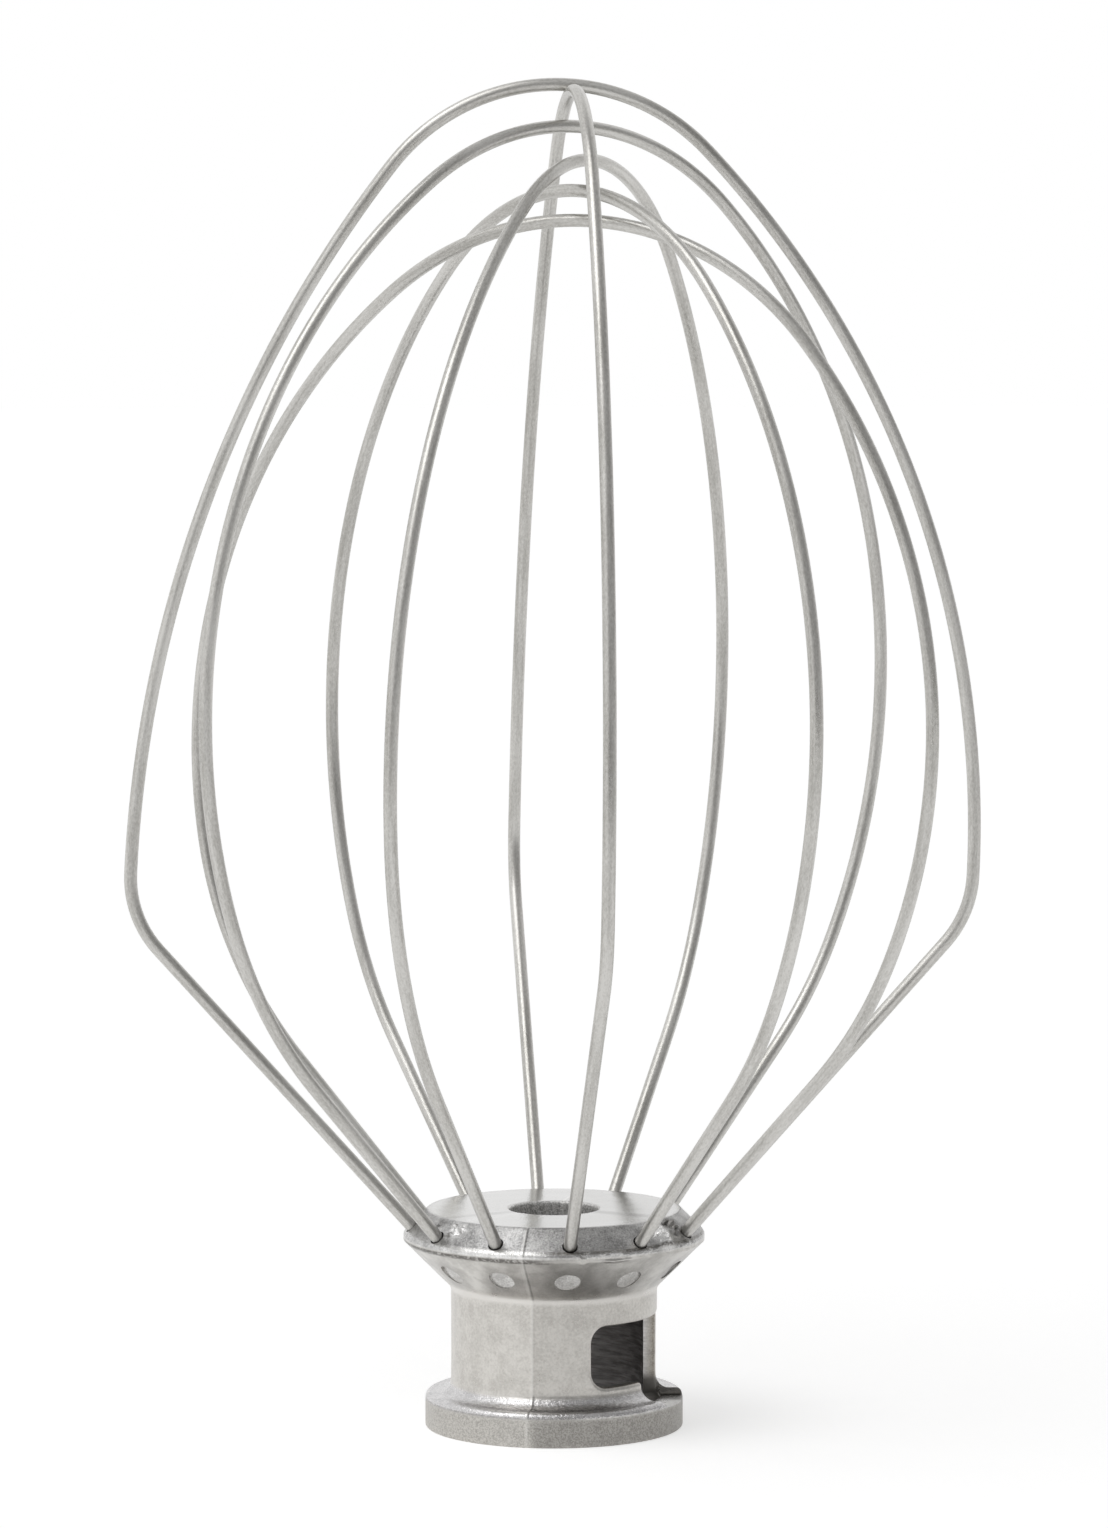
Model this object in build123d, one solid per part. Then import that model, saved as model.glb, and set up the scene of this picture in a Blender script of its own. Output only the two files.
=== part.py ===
from build123d import *

import os
from collections import namedtuple
from math import atan2, cos, radians, sin, sqrt, tan

# Wire whisk for a stand mixer: a die-cast hub with a bayonet socket, and six bent loops of steel wire.
# Sizes are in millimetres and angles in degrees. The origin is the centre of the hub's flat base and +Z
# runs up the axis. Angles round the axis start at +X, and the tallest loop lies in the XZ plane.

# Socket for the mixer's shaft, and the walls that stand round it
BORE_D = 22.2
BORE_DEPTH = 16.2
NECK_WALL = 1.6
FLANGE_OVERHANG = 3.2
FLANGE_T = 4.3

# Flared head that carries the wires
FLARE_Z = 17.4
FLARE_TILT = 45.0
RIM_OVERHANG = 5.85
RIM_T = 0.8
BEVEL_RUN = 2.95
BEVEL_H = 2.95
TOP_HOLE_D = 11.0

# Edges of the hub: fillets where the casting is soft, small chamfers elsewhere
FLANGE_EDGE_R = 0.7
NECK_FILLET_R = 1.6
FLARE_FILLET_R = 1.5
FACE_EDGE_R = 0.4
BASE_CHAMFER = 0.4
BORE_CHAMFER = 0.4
RIM_CHAMFER = 0.15
TOP_HOLE_CHAMFER = 0.4

# Bayonet slot: the shaft's pin comes up the keyway and turns under the slot's roof. It ends at +X.
SLOT_LOW_Z = 6.5
SLOT_H = 7.6
SLOT_ARC = 75.0
SLOT_CORNER_R = 2.0
ENTRY_ARC = 38.0
ENTRY_FLOOR_Z = 3.5
ENTRY_CORNER_R = 1.2
ENTRY_LIP_R = 0.5
KEYWAY_DEPTH = 2.1

# Wires, the holes they sit in and the punch marks that stake them
WIRE_D = 1.6
HOLE_CLEARANCE = 0.1
HOLE_DEPTH = 7.0
HOLE_FROM_RIM = 1.35
LEG_TILT = 42.0
STAKE_DEPTH = 4.9
STAKE_PUNCH_D = 3.2
STAKE_PUNCH_TILT = 36.0
STAKE_DENT = 0.32

# Crowns: the height of the tallest, and the clear gap over each of the others to the wire it passes under
CAGE_TOP_Z = 165.5
CROWN_GAPS = {
    "outer_loop_lower": 0.2,
    "middle_loop_upper": 1.7,
    "middle_loop_lower": 2.6,
    "inner_loop_upper": 1.8,
    "inner_loop_lower": 2.2,
}

# Shape of the loops, pair by pair: half the width at the shoulders, and the arcs from crown to leg
OUTER_HALF_WIDTH = 52.0
OUTER_CROWN_R = 25.5
OUTER_SIDE_R = 136.0
OUTER_SHOULDER_R = 13.2
MIDDLE_HALF_WIDTH = 49.4
MIDDLE_CROWN_R = 34.9
MIDDLE_SIDE_R = 79.2
MIDDLE_SHOULDER_R = 55.0
INNER_HALF_WIDTH = 48.0
INNER_CROWN_R = 38.5
INNER_SIDE_R = 74.0
INNER_SHOULDER_R = 51.0

# Sides of the tallest loop, which use has bent rounder on the half of its first hole than on the other
ROUNDER_SIDE_R = 121.0
FLATTER_SIDE_R = 152.0

# The loops in their order round the hub from +X, each with the angle that use has bent it towards +X
LOOP_TILTS = {
    "outer_loop_upper": 0.15,
    "middle_loop_upper": -0.3,
    "middle_loop_lower": 1.0,
    "outer_loop_lower": 0.66,
    "inner_loop_upper": 0.75,
    "inner_loop_lower": -0.5,
}

# How far use has pushed a crown off the axis, along its own loop and towards the loop's first hole
CROWN_SHIFTS = {
    "outer_loop_lower": -7.0,
    "middle_loop_upper": 3.0,
    "middle_loop_lower": 5.1,
    "inner_loop_upper": -0.9,
    "inner_loop_lower": -3.6,
}

# How far a cutting shape runs past the surface that it cuts, and how a round cutter is placed
OVERCUT = 1.0
FROM_BOTTOM = (Align.CENTER, Align.CENTER, Align.MIN)

# Sizes that follow from those above
bore_r = BORE_D / 2
neck_r = bore_r + NECK_WALL
flange_r = neck_r + FLANGE_OVERHANG
rim_r = neck_r + RIM_OVERHANG
rim_low_z = FLARE_Z + RIM_OVERHANG / tan(radians(FLARE_TILT))
rim_top_z = rim_low_z + RIM_T
face_r = rim_r - BEVEL_RUN
face_z = rim_top_z + BEVEL_H
bevel_tilt = atan2(BEVEL_RUN, BEVEL_H)
wire_r = WIRE_D / 2
hole_pitch = 180.0 / len(LOOP_TILTS)

# Where a wire's centreline crosses the bevel, and the way it leaves, in the plane of its loop
leg_tilt = radians(LEG_TILT)
hole_point = Vector(rim_r - HOLE_FROM_RIM * sin(bevel_tilt), 0, rim_top_z + HOLE_FROM_RIM * cos(bevel_tilt))
leg_direction = Vector(sin(leg_tilt), 0, cos(leg_tilt))
leg_end = hole_point - leg_direction * HOLE_DEPTH


def seat(name):
    """Placement of a loop: turned to its pair of holes, then tilted about the middle of the head."""
    angle = hole_pitch * list(LOOP_TILTS).index(name)
    tilt = Pos(0, 0, hole_point.Z) * Rot(0, LOOP_TILTS[name], 0) * Pos(0, 0, -hole_point.Z)
    return tilt * Rot(0, 0, angle)


def hub_profile():
    """Half section of the hub in the XZ plane, with its corners rounded and chamfered."""
    top_hole_r = TOP_HOLE_D / 2
    corners = {
        "bore mouth": (bore_r, 0, 0),
        "base edge": (flange_r, 0, 0),
        "flange edge": (flange_r, 0, FLANGE_T),
        "neck foot": (neck_r, 0, FLANGE_T),
        "flare foot": (neck_r, 0, FLARE_Z),
        "rim low": (rim_r, 0, rim_low_z),
        "rim top": (rim_r, 0, rim_top_z),
        "face edge": (face_r, 0, face_z),
        "top hole": (top_hole_r, 0, face_z),
        "bore step": (top_hole_r, 0, BORE_DEPTH),
        "bore end": (bore_r, 0, BORE_DEPTH),
    }
    fillets = {
        "flange edge": FLANGE_EDGE_R,
        "neck foot": NECK_FILLET_R,
        "flare foot": FLARE_FILLET_R,
        "face edge": FACE_EDGE_R,
    }
    chamfers = {
        "bore mouth": BORE_CHAMFER,
        "base edge": BASE_CHAMFER,
        "rim low": RIM_CHAMFER,
        "rim top": RIM_CHAMFER,
        "top hole": TOP_HOLE_CHAMFER,
    }
    profile = make_face(Polyline(*corners.values(), close=True))
    for name, radius in fillets.items():
        profile = fillet(profile.vertices().sort_by_distance(corners[name])[0], radius)
    for name, length in chamfers.items():
        profile = chamfer(profile.vertices().sort_by_distance(corners[name])[0], length)
    return profile


def polar(radius, angle, z):
    """Point at a radius and an angle round the axis."""
    return Vector(radius * cos(radians(angle)), radius * sin(radians(angle)), z)


def sector(outer_r, low_z, top_z, arc):
    """Ring sector that starts inside the bore and ends at +X."""
    inner_r = bore_r - OVERCUT
    corners = [(inner_r, 0, low_z), (outer_r, 0, low_z), (outer_r, 0, top_z), (inner_r, 0, top_z)]
    section = make_face(Polyline(*corners, close=True))
    return Rot(0, 0, -arc) * revolve(section, Axis.Z, arc)


def bayonet_slot():
    """Space of the slot, of its entry notch down through the flange's top, and of the keyway under it."""
    outside_r = flange_r + OVERCUT
    slot_top_z = SLOT_LOW_Z + SLOT_H
    space = sector(outside_r, SLOT_LOW_Z, slot_top_z, SLOT_ARC)
    space += sector(outside_r, ENTRY_FLOOR_Z, slot_top_z, ENTRY_ARC)
    rounded = [
        (polar(neck_r, -SLOT_ARC, SLOT_LOW_Z), SLOT_CORNER_R),
        (polar(neck_r, -SLOT_ARC, slot_top_z), SLOT_CORNER_R),
        (polar(neck_r, -ENTRY_ARC, ENTRY_FLOOR_Z), ENTRY_CORNER_R),
        (polar(neck_r, -ENTRY_ARC, SLOT_LOW_Z), ENTRY_LIP_R),
    ]
    for point, radius in rounded:
        space = fillet(space.edges().sort_by_distance(point)[0], radius)
    return space + sector(bore_r + KEYWAY_DEPTH, -OVERCUT, SLOT_LOW_Z, ENTRY_ARC)


def wire_hole():
    """Blind hole for one wire end, in the plane of its loop."""
    bottom = Plane(origin=leg_end, z_dir=leg_direction)
    return bottom * Cylinder(wire_r + HOLE_CLEARANCE, HOLE_DEPTH + OVERCUT, align=FROM_BOTTOM)


def slope_down(angle):
    """Direction outward and down by an angle, in the XZ plane."""
    return Vector(cos(radians(angle)), 0, -sin(radians(angle)))


def stake_mark():
    """Flat punch mark in the flare's underside, under one wire and deepest towards the rim."""
    square = slope_down(FLARE_TILT)
    on_wire = hole_point - leg_direction * STAKE_DEPTH
    to_surface = (Vector(neck_r, 0, FLARE_Z) - on_wire).dot(square)
    bottom = Plane(origin=on_wire + square * (to_surface - STAKE_DENT), z_dir=slope_down(STAKE_PUNCH_TILT))
    return bottom * Cylinder(STAKE_PUNCH_D / 2, STAKE_DENT + OVERCUT, align=FROM_BOTTOM)


def make_hub():
    """Casting with its slot cut out and every wire hole drilled and staked."""
    hub = revolve(hub_profile(), Axis.Z) - bayonet_slot()
    hole = wire_hole()
    mark = stake_mark()
    for name in LOOP_TILTS:
        for turn in (0, 180):
            place = seat(name) * Rot(0, 0, turn)
            hub -= place * hole
            hub -= place * mark
    return hub


def loop_circles(shape, crown_z, shift):
    """Centres of the crown, side and shoulder arcs of one half of a loop; the side circle holds the others.

    The shoulder touches the line at the half width and runs into the leg. The side circle touches both of
    the others from outside, which fixes its centre in a triangle with theirs.
    """
    crown = Vector(shift, 0, crown_z)
    shoulder_x = shape.half_width - shape.shoulder_r
    rise = (shape.shoulder_r + cos(leg_tilt) * (shoulder_x - hole_point.X)) / sin(leg_tilt)
    shoulder = Vector(shoulder_x, 0, hole_point.Z + rise)
    from_crown = shape.side_r - shape.crown_r
    from_shoulder = shape.side_r - shape.shoulder_r
    between = shoulder - crown
    along = (between.length**2 + from_crown**2 - from_shoulder**2) / (2 * between.length)
    across = sqrt(from_crown**2 - along**2)
    unit = between.normalized()
    side = crown + unit * along + Vector(unit.Z, 0, -unit.X) * across
    return crown, side, shoulder


def arc_between(centre, radius, start, end):
    """Start, halfway point and end of the shorter arc between two points of a circle."""
    halfway = centre + ((start - centre) + (end - centre)).normalized() * radius
    return [start, halfway, end]


def half_arcs(shape, crown_z, shift):
    """Side and shoulder arcs of one half of a loop, from its crown to its leg."""
    crown, side, shoulder = loop_circles(shape, crown_z, shift)
    side_start = side + (crown - side).normalized() * shape.side_r
    side_end = side + (shoulder - side).normalized() * shape.side_r
    leg_start = shoulder + slope_down(LEG_TILT) * shape.shoulder_r
    return [
        arc_between(side, shape.side_r, side_start, side_end),
        arc_between(shoulder, shape.shoulder_r, side_end, leg_start),
    ]


def mirrored(points):
    """The same points on the other half of a loop."""
    return [Vector(-point.X, 0, point.Z) for point in points]


def loop_path(first, second, crown_z, shift):
    """Centreline of a loop in the XZ plane from the shapes of its halves: leg, arcs, crown, arcs, leg."""
    first_arcs = half_arcs(first, crown_z, shift)
    second_arcs = [mirrored(arc) for arc in half_arcs(second, crown_z, -shift)]
    apex = Vector(shift, 0, crown_z + first.crown_r)
    edges = [Line(*mirrored([leg_end]), second_arcs[-1][-1])]
    for arc in reversed(second_arcs):
        edges.append(ThreePointArc(*reversed(arc)))
    edges.append(ThreePointArc(second_arcs[0][0], apex, first_arcs[0][0]))
    for arc in first_arcs:
        edges.append(ThreePointArc(*arc))
    edges.append(Line(first_arcs[-1][-1], leg_end))
    return Wire(edges)


def make_loop(path):
    """One wire, swept along the centreline of its loop."""
    section = Plane(origin=path @ 0, z_dir=path % 0) * Circle(wire_r)
    return sweep(section, path=path)


# The loops from the top down, each with the shape of its two halves
LoopShape = namedtuple("LoopShape", "half_width crown_r side_r shoulder_r")
outer = LoopShape(OUTER_HALF_WIDTH, OUTER_CROWN_R, OUTER_SIDE_R, OUTER_SHOULDER_R)
middle = LoopShape(MIDDLE_HALF_WIDTH, MIDDLE_CROWN_R, MIDDLE_SIDE_R, MIDDLE_SHOULDER_R)
inner = LoopShape(INNER_HALF_WIDTH, INNER_CROWN_R, INNER_SIDE_R, INNER_SHOULDER_R)
stack = {
    "outer_loop_upper": (outer._replace(side_r=ROUNDER_SIDE_R), outer._replace(side_r=FLATTER_SIDE_R)),
    "outer_loop_lower": (outer, outer),
    "middle_loop_upper": (middle, middle),
    "middle_loop_lower": (middle, middle),
    "inner_loop_upper": (inner, inner),
    "inner_loop_lower": (inner, inner),
}

os.makedirs("parts", exist_ok=True)
export_step(make_hub(), "parts/hub.step")

# Each loop passes under the one before it on the axis. The tallest counts as lying right under a wire
# that rests on top of the cage.
above_z = CAGE_TOP_Z + wire_r
for name, (first, second) in stack.items():
    shift = CROWN_SHIFTS.get(name, 0)
    to_above = first.crown_r + WIRE_D + CROWN_GAPS.get(name, 0)
    crown_z = above_z - sqrt(to_above**2 - shift**2)
    loop = make_loop(loop_path(first, second, crown_z, shift))
    export_step(seat(name) * loop, f"parts/{name}.step")
    above_z = crown_z + sqrt(first.crown_r**2 - shift**2)
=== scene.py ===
from collections import namedtuple
from math import atan2, ceil, cos, exp, hypot, pi, radians, sin, sqrt, tan

import bmesh
import bpy
import numpy as np
from mathutils import Matrix, Vector, noise


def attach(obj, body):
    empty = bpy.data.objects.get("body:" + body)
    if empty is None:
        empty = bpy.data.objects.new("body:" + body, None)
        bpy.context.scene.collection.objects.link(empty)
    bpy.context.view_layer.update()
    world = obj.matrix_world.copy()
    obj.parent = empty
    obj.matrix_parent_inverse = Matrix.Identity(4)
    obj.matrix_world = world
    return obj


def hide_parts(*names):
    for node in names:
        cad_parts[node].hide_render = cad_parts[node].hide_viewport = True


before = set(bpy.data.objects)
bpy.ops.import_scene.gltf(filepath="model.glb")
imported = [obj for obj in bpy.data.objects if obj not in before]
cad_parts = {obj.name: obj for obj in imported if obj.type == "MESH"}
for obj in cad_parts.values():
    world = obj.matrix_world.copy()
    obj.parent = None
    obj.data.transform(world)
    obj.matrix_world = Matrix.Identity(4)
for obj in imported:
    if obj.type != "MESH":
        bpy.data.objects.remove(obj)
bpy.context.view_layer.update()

# Wire whisk for a stand mixer, standing on its hub. The hub and the six wire loops are modelled here in
# millimetres, in the frame of the solids that they stand for, and scaled to metres as their meshes are made.
MM = 0.001

# Hub: radii, heights and how round its edges are
BORE_R = 11.1
BORE_DEPTH = 16.2
NECK_R = 12.7
FLANGE_R = 15.9
FLANGE_T = 4.3
FLARE_Z = 17.4
RIM_R = 18.55
RIM_LOW_Z = 23.25
RIM_TOP_Z = 24.05
FACE_R = 15.6
FACE_Z = 27.0
TOP_HOLE_R = 5.5
SMALL_EDGE_R = 0.3
RIM_EDGE_R = 0.14
RIM_TOP_R = 0.6
FLANGE_EDGE_R = 0.7
NECK_FILLET_R = 1.6
FLARE_FILLET_R = 1.5
FACE_EDGE_R = 0.4

# Sine and cosine of 45 degrees, at which the flare and the bevel slope
DIAGONAL = sqrt(0.5)

# Bayonet slot, its entry notch and the keyway below, as angles back from +X
SLOT_ARC = radians(75.0)
SLOT_LOW_Z = 6.5
SLOT_TOP_Z = 14.1
SLOT_CORNER_R = 2.0
SLOT_EDGE_R = 0.4
ENTRY_ARC = radians(38.0)
ENTRY_FLOOR_Z = 3.5
ENTRY_CORNER_R = 1.2
ENTRY_LIP_R = 0.5
KEYWAY_DEPTH = 2.1

# Wires, the holes they sit in and the punch marks that stake them
WIRE_R = 0.8
HOLE_R = 0.95
HOLE_DEPTH = 7.0
HOLE_POINT = Vector((17.6, 25.0))
LEG_TILT = radians(42.0)
STAKE_DEPTH = 4.9
STAKE_R = 1.6
STAKE_TILT = radians(36.0)
STAKE_DENT = 0.32
MARK_CENTRE = Vector((15.5, 20.2))
HALO_R = 2.9

# Spacing of a mesh's points; an arc's longest step is a share of its radius
RIM_ROW = 0.16
FINE_ROW = 0.24
MIDDLE_ROW = 0.45
COARSE_ROW = 1.2
SLOT_ROW = 0.4
KEYWAY_ROW = 0.8
RING_STEP = 1.0
ARC_STEP_SHARE = 0.5
LEAST_ARC_STEP = 0.01
HUB_COLUMNS = 336
WIRE_SIDES = 28
CUTTER_SIDES = 32
SLOT_EDGE_STEPS = 6

# Cuts: how far a cutter runs past the surface, and how narrow a sliver of face is dissolved after them
OVERCUT = 1.0
SLIVER_WIDTH = 0.001

# Angle between faces from which the smooth shading breaks
SHARP_ANGLE = radians(40.0)

# Shapes of the halves of a loop: half its width at the shoulders, and the arcs from crown to leg
Half = namedtuple("Half", "half_width crown_r side_r shoulder_r")
OUTER = Half(52.0, 25.5, 136.0, 13.2)
OUTER_ROUNDER = OUTER._replace(side_r=121.0)
OUTER_FLATTER = OUTER._replace(side_r=152.0)
MIDDLE = Half(49.4, 34.9, 79.2, 55.0)
INNER = Half(48.0, 38.5, 74.0, 51.0)

# The loops in their order round the hub from +X: the shapes of both halves, the clear gap from the crown to
# the wire that it passes under, the crown's way off the axis, and the tilt towards +X in degrees
Loop = namedtuple("Loop", "first second gap shift tilt")
LOOPS = {
    "outer_loop_upper": Loop(OUTER_ROUNDER, OUTER_FLATTER, 0.0, 0.0, 0.15),
    "middle_loop_upper": Loop(MIDDLE, MIDDLE, 1.7, 3.0, -0.3),
    "middle_loop_lower": Loop(MIDDLE, MIDDLE, 2.6, 5.1, 1.0),
    "outer_loop_lower": Loop(OUTER, OUTER, 0.2, -7.0, 0.66),
    "inner_loop_upper": Loop(INNER, INNER, 1.8, -0.9, 0.75),
    "inner_loop_lower": Loop(INNER, INNER, 2.2, -3.6, -0.5),
}

# The same loops from the top of the cage down, each passing under the one before it
CAGE_TOP_Z = 165.5
STACK = (
    "outer_loop_upper",
    "outer_loop_lower",
    "middle_loop_upper",
    "middle_loop_lower",
    "inner_loop_upper",
    "inner_loop_lower",
)

# Marks that casting and use have left on the hub
PARTING_AZIMUTH = radians(-108.5)
UNEVEN = 0.02
UNEVEN_SIZE = 3.0
BURR = 0.34
BURR_REACH = 0.35
LOW_BURR = 0.45
LOW_BURR_REACH = 0.2
BURR_SIZE = 0.8
FINE_BURR = 0.5
FINE_BURRS_TO_ONE = 3
BURR_CENTRE = radians(-58.0)
BURR_HALF_ARC = radians(42.0)
BURR_ELSEWHERE = 0.2
CORE_ROUGHNESS = 0.04
CORE_LUMPS_PER_MM = 1.1
FINE_CORE = 0.6
FINE_CORE_LUMPS_PER_MM = 2.9
TEARS_PER_MM = 1.5
FINE_TEAR = 0.7
FINE_TEARS_PER_MM = 2.9
TEAR_LEVEL = 0.25

# Normals that point down further than this belong to the flat base, which stays true
FACING_DOWN = -0.9

# Powers of the bell curves by which the marks fall off
ROUND_TOP = 2
FLAT_TOP = 4

# Crumpled places on the bevel: azimuth, height, size, depth, swelling and how dark or bright each one is
Scar = namedtuple("Scar", "azimuth z size depth swelling dark bright")
SCARS = (
    Scar(radians(-48.5), 25.3, 1.8, 0.5, 1.0, 0.0, 0.95),
    Scar(radians(-36.5), 26.1, 1.5, 0.9, 0.0, 0.8, 0.0),
    Scar(radians(-155.0), 26.3, 1.2, 0.5, 0.0, 0.4, 0.0),
    Scar(radians(-142.0), 26.1, 1.4, 0.5, 0.0, 0.0, 0.3),
)

# Lumps of flash on the rim, and one nick: azimuth, half length and how far each stands out
Lump = namedtuple("Lump", "azimuth half_length height")
LUMPS = (
    Lump(radians(-72.5), 1.1, 0.34),
    Lump(radians(-34.5), 0.6, 0.3),
    Lump(radians(-85.5), 0.35, -0.35),
)

# Zones of the hub's finish. A fade says where a zone starts and where it is full, and a band has soft edges.
# Each fade is over the radius, the height, the way off a surface or, for a turn, an angle in radians.
Band = namedtuple("Band", "low high edge")
OFF_BEVEL_FADE = (0.5, 0.2)
BEVEL_RADIUS_FADE = (FACE_R - 0.3, FACE_R + 0.1)
FACE_HEIGHT_FADE = (FACE_Z - 0.25, FACE_Z - 0.1)
RIM_RADIUS_FADE = (RIM_R - 0.6, RIM_R - 0.35)
OFF_FLARE_FADE = (0.9, 0.4)
FLARE_HEIGHT_FADE = (FLARE_Z + 0.4, FLARE_Z + 1.6)
CREASE_HEIGHT_BAND = Band(FLARE_Z - 0.55, FLARE_Z + 0.75, 0.35)
CREASE_LEAST_R = NECK_R - 0.1
MARK_DEPTH_BAND = Band(0.04, 0.9, 0.1)
MARK_RADIUS_BAND = Band(13.8, 17.4, 0.2)
FLANGE_RADIUS_FADE = (FLANGE_R - 0.5, FLANGE_R - 0.1)
FLANGE_HEIGHT_FADE = (FLANGE_T - 0.6, FLANGE_T - 1.1)
FOOT_RADIUS_FADE = (NECK_R, NECK_R + 0.15)
FOOT_HEIGHT_BAND = Band(FLANGE_T - 1.1, FLANGE_T + 1.6, 0.5)
CORE_RADIUS_FADE = (TOP_HOLE_R + 0.3, TOP_HOLE_R)
CORE_HEIGHT_FADE = (BORE_DEPTH, BORE_DEPTH + 0.5)
BORE_RADIUS_FADE = (BORE_R + 0.7, BORE_R + 0.1)
WALL_INNER_FADE = (BORE_R, BORE_R + 0.5)
WALL_OUTER_FADE = (NECK_R - 0.05, NECK_R - 0.3)
WALL_LOW_FADE = (ENTRY_FLOOR_Z, SLOT_LOW_Z)
WALL_TOP_FADE = (SLOT_TOP_Z + 0.4, SLOT_TOP_Z)
PARTING_REACH = 2.0

# Painted shade and dirt of the hub and the painted highlight on its rim, with turns from the parting line,
# or from +X for the notch
RIM_SHADE_AND_DIRT_TURN_FADE = (0.05, 0.25)
RIM_SHADE_AND_DIRT_BEHIND_BAND = Band(RIM_TOP_Z + 0.02, RIM_TOP_Z + 0.5, 0.12)
RIM_SHADE_AND_DIRT_UNDER_BAND = Band(RIM_LOW_Z - 0.4, RIM_LOW_Z + 0.3, 0.15)
HIGHLIGHT_START_TURN_FADE = (-0.75, -0.3)
HIGHLIGHT_END_TURN_FADE = (0.2, 0.04)
HIGHLIGHT_ELSEWHERE = 0.35
HIGHLIGHT_HEIGHT_BAND = Band(RIM_LOW_Z + 0.25, RIM_TOP_Z + 0.45, 0.15)
FLANGE_SHADE_AND_DIRT = 0.6
FLANGE_SHADE_AND_DIRT_RADIUS_FADE = (FLANGE_R - 0.4, FLANGE_R - 0.15)
FLANGE_SHADE_AND_DIRT_TURN_FADE = (0.5, 0.3)
FLANGE_SHADE_AND_DIRT_HEIGHT_BAND = Band(FLANGE_T - 0.95, FLANGE_T - 0.55, 0.12)
HALF_EDGE = 0.002
HALF_EDGE_ON_FLANGE = 0.05
HALF_EDGE_HEIGHT_FADE = (FLANGE_T, FLANGE_T - 0.6)
NOTCH_START_TURN_FADE = (-0.32, -0.22)
NOTCH_END_TURN_FADE = (0.02, 0.005)
NOTCH_LOW_FADE = (ENTRY_FLOOR_Z - 0.4, ENTRY_FLOOR_Z)
NOTCH_TOP_FADE = (SLOT_LOW_Z - 0.2, SLOT_LOW_Z - 1.2)

# Colours of the finishes
STEEL_LIGHT = (0.64, 0.63, 0.605, 1)
STEEL_DARK = (0.39, 0.381, 0.357, 1)
NECK_LIGHT = (0.67, 0.65, 0.615, 1)
NECK_DARK = (0.52, 0.503, 0.472, 1)
RIDGE_HIGHLIGHT_TONE = (0.80, 0.79, 0.76, 1)
FACE_TONE = (0.60, 0.596, 0.585, 1)
FACET_HIGHLIGHT_TONE = (0.96, 0.955, 0.945, 1)
FLARE_LIGHT = (0.62, 0.606, 0.578, 1)
FLARE_DARK = (0.46, 0.447, 0.424, 1)
HALO_TONE = (0.34, 0.328, 0.31, 1)
CREASE_HIGHLIGHT_TONE = (0.72, 0.70, 0.668, 1)
MARK_LIGHT = (0.72, 0.712, 0.695, 1)
MARK_DARK = (0.44, 0.432, 0.42, 1)
HIGHLIGHT_BAND_LIGHT = (0.90, 0.895, 0.885, 1)
HIGHLIGHT_BAND_DARK = (0.62, 0.612, 0.60, 1)
BEVEL_LIGHT = (0.55, 0.545, 0.54, 1)
BEVEL_DARK = (0.25, 0.247, 0.245, 1)
FLANGE_LIGHT = (0.58, 0.563, 0.532, 1)
FLANGE_DARK = (0.39, 0.376, 0.352, 1)
FOOT_LIGHT = (0.70, 0.69, 0.692, 1)
FOOT_DARK = (0.50, 0.492, 0.495, 1)
WALL_LIGHT = (0.52, 0.485, 0.43, 1)
WALL_DARK = (0.27, 0.248, 0.216, 1)
CORE_LIGHT = (0.82, 0.812, 0.80, 1)
CORE_DARK = (0.36, 0.355, 0.347, 1)
BORE_LIGHT = (0.86, 0.842, 0.835, 1)
BORE_DARK = (0.46, 0.447, 0.444, 1)
# Grime, also the colour of the painted shade on the right half, in the fine lines and in the notch's corner
GRIME_AND_PAINTED_SHADE = (0.16, 0.152, 0.142, 1)

# Noises of the finishes: features to the millimetre along each axis, detail and roughness
Noise = namedtuple("Noise", "scale detail roughness")
WIRE_SPECKLE = Noise((2.2, 5.0, 5.0), 3.0, 0.65)
WIRE_STREAK = Noise((0.12, 2.2, 2.2), 2.0, 0.5)
WIRE_SHEEN = Noise((0.06, 0.5, 0.5), 2.0, 0.5)
MOTTLE = Noise((0.5, 0.5, 0.5), 4.0, 0.6)
GRAIN = Noise((3.2, 3.2, 3.2), 3.0, 0.6)
FLECK = Noise((5.5, 5.5, 5.5), 2.0, 0.6)
STREAK = Noise((0.35, 0.35, 2.6), 3.0, 0.6)
GRAIN_RELIEF = Noise((3.2, 3.2, 3.2), 3.0, 0.65)
PIT_RELIEF = Noise((4.5, 4.5, 4.5), 3.0, 0.7)
LUMP_RELIEF = Noise((1.7, 1.7, 1.7), 3.0, 0.7)

# Patterns mixed from the noises: the share of one in another, and the range stretched to full contrast
Patterns = namedtuple("Patterns", "satin flecked patchy streaky cloudy caked")
STREAK_IN_WIRE = 0.4
SHEEN_IN_WIRE = 0.35
WIRE_RANGE = (0.38, 0.6)
SHEEN_RANGE = (0.3, 0.7)
GRAIN_IN_SATIN = 0.45
SATIN_RANGE = (0.4, 0.6)
GRAIN_IN_FLECKED = 0.35
FLECKED_RANGE = (0.42, 0.57)
GRAIN_IN_PATCHY = 0.4
MOTTLE_IN_PATCHY = 0.35
PATCHY_RANGE = (0.42, 0.58)
STREAKY_RANGE = (0.38, 0.62)
CLOUDY_RANGE = (0.38, 0.6)
CAKED_RANGE = (0.38, 0.52)
CAKED_LEAST = 0.25
MOTTLE_RANGE = (0.35, 0.65)

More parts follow.
